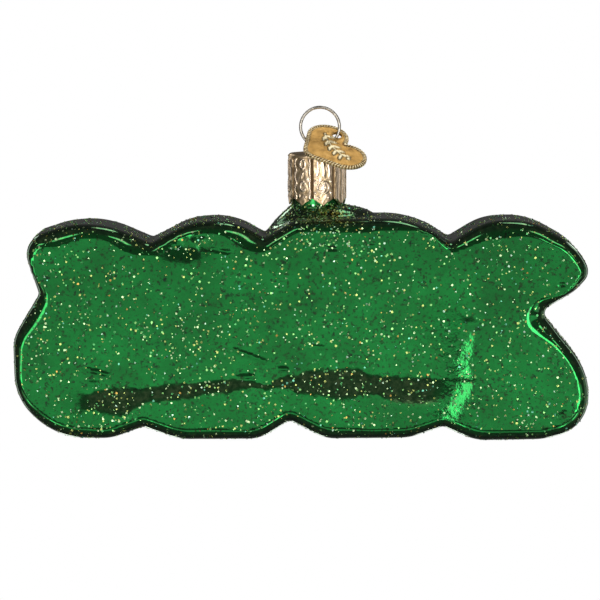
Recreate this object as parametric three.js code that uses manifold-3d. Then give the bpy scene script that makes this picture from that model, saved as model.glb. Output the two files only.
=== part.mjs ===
// Hanging glass ornament: a lobed hollow glass body with a round neck, a pressed metal cap over
// the neck, a sprung wire loop through the cap, and a small heart tag on the loop.
// Millimetres, +Z up. The flat side of the body faces -Y, and its lobes are seen with +X to the
// right. The origin is where a hook bears, inside the crown of the loop.

import * as THREE from 'three';
import { mergeVertices } from 'three/addons/utils/BufferGeometryUtils.js';
import Module from 'manifold-3d';

const wasm = await Module();
wasm.setup();

// Clearance between neighbours
const seatGap = 0.3;

// Wire loop
const wireDiameter = 0.7;
const loopInnerRadius = 3.95;
const loopBendRadius = 1.0;
const loopStandoff = 1.1;
const legSpacing = 2.6;
const legLength = 12;
const legStraightLength = 2;

// Pressed cap
const capAxisX = -0.66;
const capRadius = 6.5;
const capSheet = 0.5;
const capHeight = 9.7;
const capEdgeRound = 0.85;
const capHoleClearance = 0.4;
const toothCount = 8;
const toothLength = 1.6;
const firstToothGap = THREE.MathUtils.degToRad(-10);
const creaseDepth = 0.2;

// Heart tag
const tagThickness = 0.5;
const tagLobeRadius = 4.66;
const tagLobeOffset = 3.97;
const tagTipRadius = 3.58;
const tagTipDrop = 4.48;
const tagBorderWidth = 0.6;
const tagBorderRise = 0.12;
const tagHoleRadius = 1.0;
const tagHoleX = -3.7;
const tagHoleY = 2.2;
const tagPlaceOnLoop = THREE.MathUtils.degToRad(-29.5);
const tagHingeSlope = THREE.MathUtils.degToRad(9.4);
const tagSpin = THREE.MathUtils.degToRad(-55.5);

// Glass body: its length between the outermost corners of its outline, and its height from the
// foot of the neck down to the lowest corner
const bodyLength = 127.1;
const bodyHeight = 51.3;
const glassWall = 1.0;
const backDepth = 12.7;
const frontDepth = 13.3;
const backRoundDepth = 3.5;
const frontRoundDepth = 6;
const grooveDepth = 1.8;
const grooveRadius = 6;
const cornerRadiusLeast = 0.4;

// Shoulder: how deep it runs down from the neck, and how far it spreads past the neck's radius
const shoulderDepth = 9;
const shoulderLeft = 6.7;
const shoulderRight = 11.5;
const shoulderSide = 5.2;

// Where each pair of opposite notches lies, with the grooves of the front between them: x as a
// part of the length, from the neck's axis, and z as a part of the height, from the neck's foot
const notchRound = 0.023;
const leftNotches = { top: [-0.288, -0.148], foot: [-0.3006, -0.942] };
const middleNotches = { top: [-0.091, -0.1262], foot: [-0.0472, -0.9149] };
const rightNotches = { top: [0.2302, -0.144], foot: [0.2187, -0.9405] };

// The corners of the lobed outline, clockwise as the flat side is seen: x and z as such parts,
// and the rounding radius as a part of the height
const outlineCorners = [
  [-0.4804, -0.368, 0.029],
  [-0.5122, -0.137, 0.097],
  [-0.3895, -0.0394, 0.429],
  [...leftNotches.top, notchRound],
  [-0.2203, -0.0604, 0.312],
  [-0.1495, -0.0461, 0.312],
  [...middleNotches.top, notchRound],
  [-0.0354, -0.0468, 0.117],
  [0.1676, -0.0409, 0.429],
  [...rightNotches.top, notchRound],
  [0.2911, -0.0526, 0.273],
  [0.3682, -0.0507, 0.312],
  [0.4512, -0.1644, 0.273],
  [0.4727, -0.2807, 0.062],
  [0.4455, -0.3548, 0.175],
  [0.386, -0.4438, 0.037],
  [0.4592, -0.6628, 0.351],
  [0.472, -0.7817, 0.273],
  [0.4657, -0.9493, 0.17],
  [0.3895, -0.996, 0.273],
  [0.2744, -1, 0.234],
  [...rightNotches.foot, notchRound],
  [0.1609, -0.9903, 0.195],
  [0.0138, -0.9942, 0.175],
  [...middleNotches.foot, notchRound],
  [-0.0991, -0.9942, 0.175],
  [-0.24, -0.9961, 0.273],
  [...leftNotches.foot, notchRound],
  [-0.358, -0.9922, 0.195],
  [-0.4524, -0.988, 0.312],
  [-0.5232, -0.8207, 0.25],
  [-0.5264, -0.558, 0.17],
];

// The shoulder's curve, as parts of its depth and of each spread
const shoulderCurve = [
  { depth: 0.01, left: 0.01, right: 0.2, side: 0.02 },
  { depth: 0.07, left: 0.12, right: 0.4, side: 0.13 },
  { depth: 0.14, left: 0.23, right: 0.53, side: 0.31 },
  { depth: 0.31, left: 0.47, right: 0.71, side: 0.6 },
  { depth: 0.66, left: 0.85, right: 0.91, side: 0.92 },
  { depth: 1, left: 1, right: 1, side: 1 },
];

// How far the body's edges round inwards, at the flat back and at the puffed front, as parts
// of the height
const backRoundPart = 0.049;
const frontRoundPart = 0.0975;

// Sizes and places that follow from the ones above
const wireRadius = wireDiameter / 2;
const loopRadius = loopInnerRadius + wireRadius;
const loopCentreZ = -loopInnerRadius;
const capTopZ = loopCentreZ - loopRadius - wireRadius - loopStandoff;
const capHoleRadius = wireRadius + capHoleClearance;
const neckRadius = capRadius - capSheet - seatGap;
const neckBore = neckRadius - glassWall;
const neckFootZ = capTopZ - capHeight - toothLength - seatGap;
const neckHeight = capHeight + toothLength - capSheet;
const legEndX = neckBore - seatGap - wireRadius;
const tagHalfThickness = tagThickness / 2 + tagBorderRise;
const backRoundInset = backRoundPart * bodyHeight;
const frontRoundInset = frontRoundPart * bodyHeight;

function solidOf(geometry) {
  const bare = geometry.clone();
  bare.deleteAttribute('normal');
  bare.deleteAttribute('uv');
  const merged = mergeVertices(bare, 1e-4);
  const mesh = new wasm.Mesh({
    numProp: 3,
    vertProperties: new Float32Array(merged.attributes.position.array),
    triVerts: new Uint32Array(merged.index.array),
  });
  return new wasm.Manifold(mesh);
}

function geometryOf(solid) {
  const mesh = solid.getMesh();
  const geometry = new THREE.BufferGeometry();
  geometry.setAttribute('position', new THREE.BufferAttribute(mesh.vertProperties, 3));
  geometry.setIndex(new THREE.BufferAttribute(mesh.triVerts, 1));
  geometry.computeVertexNormals();
  return geometry;
}

// A closed skin over a stack of rings with equal numbers of points, which run anticlockwise as
// seen from outside the first ring. flatten gives a ring's points in its own plane.
function stackedSkin(rings, flatten) {
  const count = rings[0].length;
  const positions = rings.flat().flatMap((point) => point.toArray());
  const index = [];
  for (let level = 0; level < rings.length - 1; level += 1) {
    for (let i = 0; i < count; i += 1) {
      const here = level * count + i;
      const next = level * count + (i + 1) % count;
      index.push(here, here + count, next);
      index.push(next, here + count, next + count);
    }
  }
  const lastStart = (rings.length - 1) * count;
  for (const [a, b, c] of THREE.ShapeUtils.triangulateShape(rings[0].map(flatten), [])) {
    index.push(a, b, c);
  }
  for (const [a, b, c] of THREE.ShapeUtils.triangulateShape(rings.at(-1).map(flatten), [])) {
    index.push(lastStart + c, lastStart + b, lastStart + a);
  }
  const geometry = new THREE.BufferGeometry();
  geometry.setAttribute('position', new THREE.Float32BufferAttribute(positions, 3));
  geometry.setIndex(index);
  return geometry;
}

// A place on the body's outline, in millimetres, from its parts of the length and of the height
function bodyPlace([x, z]) {
  return new THREE.Vector2(x * bodyLength, z * bodyHeight);
}

// The edges of a closed outline, each with its direction and length
function edgesOf(points) {
  return points.map((start, i) => {
    const end = points[(i + 1) % points.length];
    const run = new THREE.Vector2().subVectors(end, start);
    return { start, direction: run.clone().normalize(), length: run.length() };
  });
}

// Angle from one direction to the next, positive anticlockwise
function turnBetween(before, after) {
  return Math.atan2(before.cross(after), before.dot(after));
}

// The outline's corners after every edge has moved inwards by inset
function insetCorners(corners, inset) {
  const edges = edgesOf(corners);
  return corners.map((corner, i) => {
    const before = edges.at(i - 1).direction;
    const half = Math.tan(turnBetween(before, edges[i].direction) / 2);
    return new THREE.Vector2(
      corner.x + inset * (before.y + half * before.x),
      corner.y + inset * (-before.x + half * before.y),
    );
  });
}

// The outline moved inwards by inset, with its corners rounded. Every inset gives as many points.
function roundedOutline(inset) {
  const sharp = outlineCorners.map(bodyPlace);
  const moved = insetCorners(sharp, inset);
  const edges = edgesOf(moved);
  const corners = moved.map((point, i) => {
    const before = edges.at(i - 1).direction;
    const turn = turnBetween(before, edges[i].direction);
    const grown = outlineCorners[i][2] * bodyHeight + Math.sign(turn) * inset;
    const radius = Math.max(grown, cornerRadiusLeast);
    return { point, before, turn, reach: radius * Math.tan(Math.abs(turn) / 2) };
  });
  const room = edges.map((edge, i) => {
    const wanted = corners[i].reach + corners[(i + 1) % corners.length].reach;
    return Math.min(1, edge.length / wanted);
  });
  return corners.flatMap((corner, i) => {
    const reach = corner.reach * Math.min(room.at(i - 1), room[i]);
    return cornerArc(corner, reach);
  });
}

// Points along the arc that rounds one corner and touches its edges at reach from the corner
function cornerArc({ point, before, turn }, reach) {
  const radius = reach / Math.tan(Math.abs(turn) / 2);
  const steps = Math.max(1, Math.round(Math.abs(turn) / THREE.MathUtils.degToRad(15)));
  const side = Math.sign(turn);
  const start = point.clone().addScaledVector(before, -reach);
  const centre = new THREE.Vector2(start.x - side * before.y * radius, start.y + side * before.x * radius);
  const points = [];
  for (let step = 0; step <= steps; step += 1) {
    points.push(start.clone().rotateAround(centre, turn * step / steps));
  }
  return points;
}

function bodyRing(inset, y) {
  return roundedOutline(inset).reverse().map((point) => new THREE.Vector3(point.x, y, point.y));
}

// The lobed body as a stack of outlines from the flat back to the front. shrink is how far
// the whole surface lies inside the outer one.
function lobedBody(shrink, backSteps, frontSteps) {
  const rings = [];
  for (let step = 0; step <= backSteps; step += 1) {
    const angle = Math.PI / 2 * step / backSteps;
    const y = backRoundDepth - backDepth - (backRoundDepth - shrink) * Math.cos(angle);
    const inset = shrink + (backRoundInset - shrink) * (1 - Math.sin(angle));
    rings.push(bodyRing(inset, y));
  }
  for (let step = 0; step <= frontSteps; step += 1) {
    const angle = Math.PI / 2 * step / frontSteps;
    const y = frontDepth - frontRoundDepth + (frontRoundDepth - shrink) * Math.sin(angle);
    const inset = shrink + (frontRoundInset - shrink) * (1 - Math.cos(angle));
    rings.push(bodyRing(inset, y));
  }
  return solidOf(stackedSkin(rings, (point) => new THREE.Vector2(point.x, point.z)));
}

// The round neck and the shoulder that spreads from it into the body
function neckAndShoulder(shrink, top) {
  const radius = neckRadius - shrink;
  const sections = [
    { z: top, left: radius, right: radius, side: radius },
    { z: 0, left: radius, right: radius, side: radius },
  ];
  for (const part of shoulderCurve) {
    sections.push({
      z: -part.depth * shoulderDepth - shrink,
      left: radius + part.left * shoulderLeft,
      right: radius + part.right * shoulderRight,
      side: radius + part.side * shoulderSide,
    });
  }
  const sides = 40;
  const rings = sections.map(({ z, left, right, side }) => {
    const ring = [];
    for (let i = 0; i < sides; i += 1) {
      const angle = 2 * Math.PI * i / sides;
      const x = (right - left) / 2 + (right + left) / 2 * Math.cos(angle);
      ring.push(new THREE.Vector3(x, side * Math.sin(angle), z));
    }
    return ring;
  });
  return solidOf(stackedSkin(rings, (point) => new THREE.Vector2(point.x, point.y)));
}

// The round bar that presses one groove into the front, between a pair of notches
function grooveBar({ top, foot }, radius) {
  const start = bodyPlace(foot);
  const run = bodyPlace(top).sub(start);
  const overrun = 2 * grooveRadius;
  const bar = new THREE.CylinderGeometry(radius, radius, run.length() + overrun, 32);
  bar.rotateX(Math.PI / 2);
  bar.rotateY(Math.atan2(run.x, run.y));
  bar.translate(start.x + run.x / 2, frontDepth - grooveDepth + grooveRadius, start.y + run.y / 2);
  return solidOf(bar);
}

function glassBody() {
  const overrun = 1;
  let outside = lobedBody(0, 3, 4).add(neckAndShoulder(0, neckHeight));
  let inside = lobedBody(glassWall, 2, 3).add(neckAndShoulder(glassWall, neckHeight + overrun));
  for (const notches of [leftNotches, middleNotches, rightNotches]) {
    outside = outside.subtract(grooveBar(notches, grooveRadius));
    inside = inside.subtract(grooveBar(notches, grooveRadius + glassWall));
  }
  return geometryOf(outside.subtract(inside));
}

// Height of the cap's lower edge at an angle round it, counted from the gaps between the teeth
function toothDrop(angle) {
  const pitch = 2 * Math.PI / toothCount;
  const part = THREE.MathUtils.euclideanModulo(angle - firstToothGap, pitch) / pitch;
  return toothLength * (1 - Math.abs(2 * part - 1));
}

// One ring of the cap: onWall is true below the rounded edge, where the creases run
function capRing(radius, z, onWall, toEdge) {
  const stepsPerTooth = 8;
  const ring = [];
  for (let i = 0; i < toothCount * stepsPerTooth; i += 1) {
    const angle = firstToothGap + 2 * Math.PI * i / (toothCount * stepsPerTooth);
    const onCrease = onWall && i % stepsPerTooth === 0;
    const r = onCrease ? radius - creaseDepth : radius;
    const drop = toEdge ? toothDrop(angle) : 0;
    ring.push(new THREE.Vector3(r * Math.sin(angle), -r * Math.cos(angle), z - drop));
  }
  return ring;
}

function capShell() {
  const rings = [];
  const flatRadius = capRadius - capEdgeRound;
  const innerRound = capEdgeRound - capSheet;
  const roundSteps = 4;
  for (let step = 0; step <= roundSteps; step += 1) {
    const angle = Math.PI / 2 * step / roundSteps;
    const radius = flatRadius + capEdgeRound * Math.sin(angle);
    rings.push(capRing(radius, capEdgeRound * (Math.cos(angle) - 1), step === roundSteps, false));
  }
  rings.push(capRing(capRadius, -capHeight, true, true));
  rings.push(capRing(capRadius - capSheet, -capHeight, false, true));
  rings.push(capRing(capRadius - capSheet, -capEdgeRound, false, false));
  rings.push(capRing(flatRadius + innerRound / 2, -capSheet - innerRound / 4, false, false));
  rings.push(capRing(flatRadius, -capSheet, false, false));
  let shell = solidOf(stackedSkin(rings, (point) => new THREE.Vector2(point.x, point.y)));
  for (const side of [-1, 1]) {
    const hole = new THREE.CylinderGeometry(capHoleRadius, capHoleRadius, 4 * capSheet, 24);
    hole.rotateX(Math.PI / 2);
    hole.translate(side * legSpacing / 2, 0, -capSheet / 2);
    shell = shell.subtract(solidOf(hole));
  }
  return geometryOf(shell);
}

// The leg on one side, from its sprung end inside the neck up to the small bend under the loop
function legPoints(side) {
  const legX = capAxisX + side * legSpacing / 2;
  const endZ = capTopZ - legLength;
  const straightEndZ = capTopZ - legStraightLength;
  const endX = capAxisX + side * legEndX;
  const points = [];
  const flareSteps = 5;
  for (let step = 0; step <= flareSteps; step += 1) {
    const part = step / flareSteps;
    const x = THREE.MathUtils.lerp(endX, legX, THREE.MathUtils.smoothstep(part, 0, 1));
    points.push(new THREE.Vector3(x, 0, THREE.MathUtils.lerp(endZ, straightEndZ, part)));
  }
  return points;
}

// Centre of the small bend that leads from a leg into the loop
function bendCentre(side) {
  const x = capAxisX + side * (legSpacing / 2 + loopBendRadius);
  const drop = Math.sqrt((loopRadius + loopBendRadius) ** 2 - x ** 2);
  return new THREE.Vector3(x, 0, loopCentreZ - drop);
}

function arcPoints(centre, radius, from, to, steps) {
  const points = [];
  for (let step = 0; step <= steps; step += 1) {
    const angle = THREE.MathUtils.lerp(from, to, step / steps);
    const along = new THREE.Vector3(Math.cos(angle), 0, Math.sin(angle));
    points.push(along.multiplyScalar(radius).add(centre));
  }
  return points;
}

function hangerWire() {
  const loopCentre = new THREE.Vector3(0, 0, loopCentreZ);
  const left = bendCentre(-1);
  const right = bendCentre(1);
  const leftAngle = Math.atan2(left.z - loopCentreZ, left.x) + 2 * Math.PI;
  const rightAngle = Math.atan2(right.z - loopCentreZ, right.x);
  const points = [
    ...legPoints(-1),
    ...arcPoints(left, loopBendRadius, 0, leftAngle - Math.PI, 4),
    ...arcPoints(loopCentre, loopRadius, leftAngle, rightAngle, 26).slice(1, -1),
    ...arcPoints(right, loopBendRadius, rightAngle + Math.PI, Math.PI, 4),
    ...legPoints(1).reverse(),
  ];
  const path = new THREE.CatmullRomCurve3(points, false, 'centripetal');
  const section = new THREE.Shape().absarc(0, 0, wireRadius, 0, 2 * Math.PI, false);
  return new THREE.ExtrudeGeometry(section, { extrudePath: path, steps: 110, curveSegments: 4 });
}

function roundPoints(x, y, radius, from, to, steps) {
  const points = [];
  for (let step = 0; step <= steps; step += 1) {
    const angle = THREE.MathUtils.lerp(from, to, step / steps);
    points.push(new THREE.Vector2(x + radius * Math.cos(angle), y + radius * Math.sin(angle)));
  }
  return points;
}

// A heart with two round lobes and a round tip, drawn in by inset all round, anticlockwise
function heartPoints(inset) {
  const lobe = tagLobeRadius - inset;
  const tip = tagTipRadius - inset;
  const reach = Math.hypot(tagLobeOffset, tagTipDrop);
  const flank = Math.atan2(-tagTipDrop, -tagLobeOffset) + Math.acos((lobe - tip) / reach);
  const notch = Math.acos(-tagLobeOffset / lobe);
  const right = roundPoints(tagLobeOffset, 0, lobe, notch, flank, 14);
  const foot = roundPoints(0, -tagTipDrop, tip, flank, -Math.PI - flank, 6);
  const left = roundPoints(-tagLobeOffset, 0, lobe, Math.PI - flank, Math.PI - notch, 14);
  return [...right, ...foot, ...left.slice(0, -1)].reverse();
}

function heartTag() {
  const plateShape = new THREE.Shape(heartPoints(0));
  const hole = roundPoints(tagHoleX, tagHoleY, tagHoleRadius, 0, 2 * Math.PI, 20).slice(0, -1);
  plateShape.holes.push(new THREE.Path(hole));
  const plate = new THREE.ExtrudeGeometry(plateShape, { depth: tagThickness, bevelEnabled: false });
  plate.translate(-tagHoleX, -tagHoleY, -tagThickness / 2);
  const borderShape = new THREE.Shape(heartPoints(0));
  borderShape.holes.push(new THREE.Path(heartPoints(tagBorderWidth)));
  const borderDepth = 2 * tagHalfThickness;
  const border = new THREE.ExtrudeGeometry(borderShape, { depth: borderDepth, bevelEnabled: false });
  border.translate(-tagHoleX, -tagHoleY, -tagHalfThickness);
  return geometryOf(solidOf(plate).add(solidOf(border)));
}

// How far the tag's plane rises from level, when it leans on the cap's rounded rim with a gap
function tagLean(pivot) {
  const rimRadius = capRadius - capEdgeRound;
  const rim = new THREE.Vector3(capAxisX, 0, capTopZ - capEdgeRound).sub(pivot);
  let low = 0;
  let high = Math.PI / 2;
  for (let step = 0; step < 30; step += 1) {
    const middle = (low + high) / 2;
    const turn = new THREE.Euler(middle, tagHingeSlope, 0, 'YXZ');
    const normal = new THREE.Vector3(0, 0, 1).applyEuler(turn);
    const rimHeight = normal.dot(rim) + rimRadius * Math.hypot(normal.x, normal.y) + capEdgeRound;
    if (rimHeight + tagHalfThickness + seatGap < 0) low = middle;
    else high = middle;
  }
  return low;
}

function namedMesh(name, geometry, color, metalness, roughness) {
  const mesh = new THREE.Mesh(geometry, new THREE.MeshStandardMaterial({ color, metalness, roughness }));
  mesh.name = name;
  return mesh;
}

const ornament = new THREE.Group();

const glass = namedMesh('glass_body', glassBody(), 0x0f7a35, 0.6, 0.12);
glass.position.set(capAxisX, 0, neckFootZ);
ornament.add(glass);

const cap = namedMesh('cap', capShell(), 0xc9a58c, 0.9, 0.3);
cap.position.set(capAxisX, 0, capTopZ);
ornament.add(cap);

ornament.add(namedMesh('hanger_wire', hangerWire(), 0xb9b4aa, 1, 0.25));

const tagPivot = new THREE.Vector3(
  loopRadius * Math.cos(tagPlaceOnLoop),
  0,
  loopCentreZ + loopRadius * Math.sin(tagPlaceOnLoop),
);
const tag = namedMesh('heart_tag', heartTag(), 0xb98a3c, 0.9, 0.35);
tag.position.copy(tagPivot);
tag.rotation.set(tagLean(tagPivot), tagHingeSlope, tagSpin, 'YXZ');
ornament.add(tag);

export default ornament;
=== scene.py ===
"""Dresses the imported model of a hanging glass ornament: silvered green glass with glitter, an
embossed cap, a sprung wire loop and a stamped heart tag, in a small white studio."""

import math

import bpy
import numpy as np
from mathutils import Euler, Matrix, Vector
from mathutils.geometry import delaunay_2d_cdt


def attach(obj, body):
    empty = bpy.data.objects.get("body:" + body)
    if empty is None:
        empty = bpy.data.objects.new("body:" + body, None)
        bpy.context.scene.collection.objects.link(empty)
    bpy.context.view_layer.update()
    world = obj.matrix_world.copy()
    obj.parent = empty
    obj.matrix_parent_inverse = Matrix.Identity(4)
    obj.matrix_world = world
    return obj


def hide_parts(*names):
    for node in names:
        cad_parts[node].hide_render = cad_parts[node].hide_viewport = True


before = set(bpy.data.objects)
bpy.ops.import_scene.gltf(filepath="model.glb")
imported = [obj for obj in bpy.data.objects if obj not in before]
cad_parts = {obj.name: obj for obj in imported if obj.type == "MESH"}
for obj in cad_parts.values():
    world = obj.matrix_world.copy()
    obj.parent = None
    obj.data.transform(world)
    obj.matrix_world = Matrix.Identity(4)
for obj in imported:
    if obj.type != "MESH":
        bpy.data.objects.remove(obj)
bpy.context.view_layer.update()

# Glass shell: one hollow form blown into a two-part mould, with a flat back, four puffed lobes
# and a round neck. It is silvered inside, so it mirrors the room, and then dipped in a clear
# green lacquer. All sizes below are millimetres.
neck_x = -0.66
neck_foot = -21.3
neck_height = 10.8
neck_radius = 5.7
neck_bore = 4.7
bore_depth = 3.0
body_length = 127.1
body_height = 51.3
back_depth = 12.7
back_round_depth = 3.5
back_round_inset = 2.5
front_depth = 13.3
front_round_depth = 6.0
front_round_inset = 5.0
pillow_crown = 0.8
wall_bulge = 0.3
pillow_spread = 17.0
groove_depth = 1.8
groove_radius = 6.0
groove_fillet = 2.0
shoulder_depth = 9.0
shoulder_fillet = 1.2
neck_lip_round = 0.5
bore_lip_round = 0.4
hollow_depth = 0.62
ripple_depth = 0.16
hand_wave_height = 0.05
glass_cell = 0.6
notch_round = 0.023
left_notches = ((-0.288, -0.148), (-0.3006, -0.942))
middle_notches = ((-0.091, -0.1262), (-0.0472, -0.9149))
right_notches = ((0.2302, -0.144), (0.2187, -0.9405))

# Corners of the lobed outline: x as a part of the length, z and rounding as parts of the height
outline_corners = (
    (-0.4804, -0.368, 0.029), (-0.5122, -0.137, 0.097), (-0.3895, -0.0394, 0.429),
    (*left_notches[0], notch_round),
    (-0.2203, -0.0604, 0.312), (-0.1495, -0.0461, 0.312),
    (*middle_notches[0], notch_round),
    (-0.0354, -0.0468, 0.117), (0.1676, -0.0409, 0.429),
    (*right_notches[0], notch_round),
    (0.2911, -0.0526, 0.273), (0.3682, -0.0507, 0.312), (0.4512, -0.1644, 0.273),
    (0.4727, -0.2807, 0.062), (0.4455, -0.3548, 0.175), (0.386, -0.4438, 0.037),
    (0.4592, -0.6628, 0.351), (0.472, -0.7817, 0.273), (0.4657, -0.9493, 0.17),
    (0.3895, -0.996, 0.273), (0.2744, -1.0, 0.234),
    (*right_notches[1], notch_round),
    (0.1609, -0.9903, 0.195), (0.0138, -0.9942, 0.175),
    (*middle_notches[1], notch_round),
    (-0.0991, -0.9942, 0.175), (-0.24, -0.9961, 0.273),
    (*left_notches[1], notch_round),
    (-0.358, -0.9922, 0.195), (-0.4524, -0.988, 0.312),
    (-0.5232, -0.8207, 0.25), (-0.5264, -0.558, 0.17),
)

# The shoulder's curve: depth under the neck, and how far it spreads left, right and to the sides
shoulder_curve = (
    (0.0, 0.0, 0.0, 0.0), (0.09, 0.07, 2.3, 0.1), (0.63, 0.8, 4.6, 0.68), (1.26, 1.54, 6.1, 1.61),
    (2.79, 3.15, 8.17, 3.12), (5.94, 5.7, 10.47, 4.78), (9.0, 6.7, 11.5, 5.2),
)


def arc_rounded(corners):
    """Points along an outline whose corners (x, z, radius) are rounded by arcs."""
    places = np.array([corner[:2] for corner in corners])
    radii = np.array([corner[2] for corner in corners])
    runs = np.roll(places, -1, axis=0) - places
    lengths = np.hypot(*runs.T)
    after = runs / lengths[:, None]
    before = np.roll(after, 1, axis=0)
    cross = before[:, 0] * after[:, 1] - before[:, 1] * after[:, 0]
    turns = np.arctan2(cross, (before * after).sum(axis=1))
    reach = radii * np.tan(abs(turns) / 2)
    room = np.minimum(1, lengths / (reach + np.roll(reach, -1)))
    reach = reach * np.minimum(np.roll(room, 1), room)
    points = []
    for place, way, turn, far in zip(places, before, turns, reach):
        side = math.copysign(far / math.tan(abs(turn) / 2), turn)
        centre = place - far * way + side * np.array([-way[1], way[0]])
        arm = place - far * way - centre
        for angle in np.linspace(0, turn, 2 + int(abs(turn) / math.radians(3))):
            c, s = math.cos(angle), math.sin(angle)
            points.append(centre + (c * arm[0] - s * arm[1], s * arm[0] + c * arm[1]))
    return np.array(points)


def outline_depth(points, x, z):
    """How far inside a closed outline each place lies, negative outside it, and the run along the
    outline to the nearest point."""
    ends = np.roll(points, -1, axis=0)
    runs = ends - points
    squares = np.maximum((runs ** 2).sum(axis=1), 1e-12)
    along = np.concatenate([[0], np.cumsum(np.sqrt(squares))[:-1]])
    depth, nearest = np.empty(x.shape), np.empty(x.shape)
    for row in range(x.shape[0]):
        dx = x[row][:, None] - points[:, 0]
        dz = z[row][:, None] - points[:, 1]
        part = np.clip((dx * runs[:, 0] + dz * runs[:, 1]) / squares, 0, 1)
        away = np.hypot(dx - part * runs[:, 0], dz - part * runs[:, 1])
        pick = away.argmin(axis=1)
        rows = np.arange(len(pick))
        above = (points[:, 1] > z[row][:, None]) != (ends[:, 1] > z[row][:, None])
        rise = np.where(abs(runs[:, 1]) < 1e-12, 1e-12, runs[:, 1])
        crossed = above & (x[row][:, None] < points[:, 0] + runs[:, 0] * dz / rise)
        inside = crossed.sum(axis=1) % 2 == 1
        depth[row] = np.where(inside, 1, -1) * away[rows, pick]
        nearest[row] = along[pick] + part[rows, pick] * np.sqrt(squares[pick])
    return depth, nearest


def spline_read(grid, low, step, x, z):
    """A grid's value at any place, through a cubic B-spline, which rounds its creases a little."""
    u, v = (x - low[0]) / step, (z - low[1]) / step
    i, j = np.floor(u).astype(int), np.floor(v).astype(int)
    total = 0
    weights = []
    for f in (u - i, v - j):
        weights.append((
            (1 - f) ** 3 / 6,
            (3 * f ** 3 - 6 * f ** 2 + 4) / 6,
            (-3 * f ** 3 + 3 * f ** 2 + 3 * f + 1) / 6,
            f ** 3 / 6,
        ))
    for a in range(4):
        for b in range(4):
            row = np.clip(i - 1 + a, 0, grid.shape[0] - 1)
            column = np.clip(j - 1 + b, 0, grid.shape[1] - 1)
            total = total + weights[0][a] * weights[1][b] * grid[row, column]
    return total


def soft_least(a, b, blend):
    """The lesser of two fields, with a fillet where they meet."""
    share = np.maximum(blend - abs(a - b), 0) / blend
    return np.minimum(a, b) - share ** 2 * blend / 4


def soft_step(low, high, value):
    """0 up to one value, 1 from another on, and a smooth rise between them."""
    part = np.clip((value - low) / (high - low), 0, 1)
    return part * part * (3 - 2 * part)


def softer_step(low, high, value):
    """The same, with no sudden bend where the rise starts and ends."""
    part = np.clip((value - low) / (high - low), 0, 1)
    return part ** 3 * (10 - 15 * part + 6 * part ** 2)


body_outline = arc_rounded([
    (x * body_length, z * body_height, radius * body_height) for x, z, radius in outline_corners
])
depth_step = 0.35
depth_low = body_outline.min(axis=0) - 4
depth_counts = np.ceil((body_outline.max(axis=0) + 4 - depth_low) / depth_step).astype(int)
depth_grid, _ = outline_depth(body_outline, *np.meshgrid(
    depth_low[0] + depth_step * np.arange(depth_counts[0]),
    depth_low[1] + depth_step * np.arange(depth_counts[1]),
    indexing="ij",
))
shoulder_drop = np.arange(-4, shoulder_depth + 2, 0.05)
shoulder_spread = [
    np.convolve(
        np.interp(shoulder_drop, [row[0] for row in shoulder_curve], [row[k] for row in shoulder_curve]),
        np.ones(17) / 17, mode="same",
    )
    for k in (1, 2, 3)
]
for spread in shoulder_spread:
    spread[-9:] = spread[-10]


def ripple(u, w):
    """Slight waves that the glass keeps from the blowing, 0 to 1."""
    waves = (
        np.sin(u / 11.3 + 1.1 * np.sin(w / 9.7) + 0.4)
        + np.sin(w / 7.9 + 0.9 * np.sin(u / 13.1) + 1.7)
        + 0.5 * np.sin(u / 5.1 - w / 6.3 + 2.9)
    )
    return waves / 5 + 0.5


# The fold along the flat back: place along the body, height of its middle, half its width and drop
fold = (
    (-62.0, -42.3, 7.0, 0.0), (-55.5, -42.4, 6.0, 0.10), (-52.6, -42.5, 4.0, 0.14),
    (-51.2, -42.4, 1.9, 0.19), (-50.1, -42.3, 1.5, 0.24), (-47.5, -42.3, 2.29, 0.34),
    (-44.6, -42.2, 2.8, 0.40), (-41.6, -42.2, 2.75, 0.40), (-40.0, -41.7, 2.1, 0.34),
    (-38.4, -41.3, 1.55, 0.27), (-36.5, -40.6, 1.5, 0.25), (-33.9, -40.5, 1.75, 0.27),
    (-30.0, -40.1, 1.76, 0.27), (-25.2, -39.5, 1.3, 0.22), (-22.8, -39.1, 1.2, 0.21),
    (-19.7, -38.9, 1.5, 0.22), (-17.3, -38.4, 1.2, 0.19), (-15.0, -38.5, 0.8, 0.13),
    (-13.4, -38.7, 0.5, 0.09), (-10.2, -39.1, 0.45, 0.08), (-9.2, -38.2, 0.85, 0.12),
    (-6.4, -38.1, 1.4, 0.21), (-4.2, -38.5, 1.9, 0.29), (-2.9, -38.1, 2.4, 0.35),
    (0.6, -38.2, 2.75, 0.43), (4.3, -38.4, 3.16, 0.49), (7.2, -38.3, 3.2, 0.51),
    (9.8, -38.3, 2.67, 0.47), (11.1, -38.6, 2.1, 0.39), (13.5, -38.75, 2.05, 0.38),
    (15.5, -39.4, 2.5, 0.44), (17.0, -39.8, 2.8, 0.49), (20.7, -40.2, 2.9, 0.53),
    (24.2, -40.4, 2.97, 0.53), (26.2, -40.4, 2.7, 0.46), (29.0, -40.1, 3.0, 0.31), (32.0, -39.8, 3.0, 0.15),
)

# The upright crease at the fold's right end: height, place of its middle and half its width
crease = (
    (-48.0, 29.0, 5.3), (-45.4, 30.3, 5.1), (-42.4, 31.9, 4.5), (-38.6, 32.7, 3.3), (-36.2, 32.7, 3.0),
    (-34.2, 31.9, 4.2), (-32.5, 32.2, 3.9), (-29.8, 33.3, 3.4), (-25.4, 34.2, 3.6),
)

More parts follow.
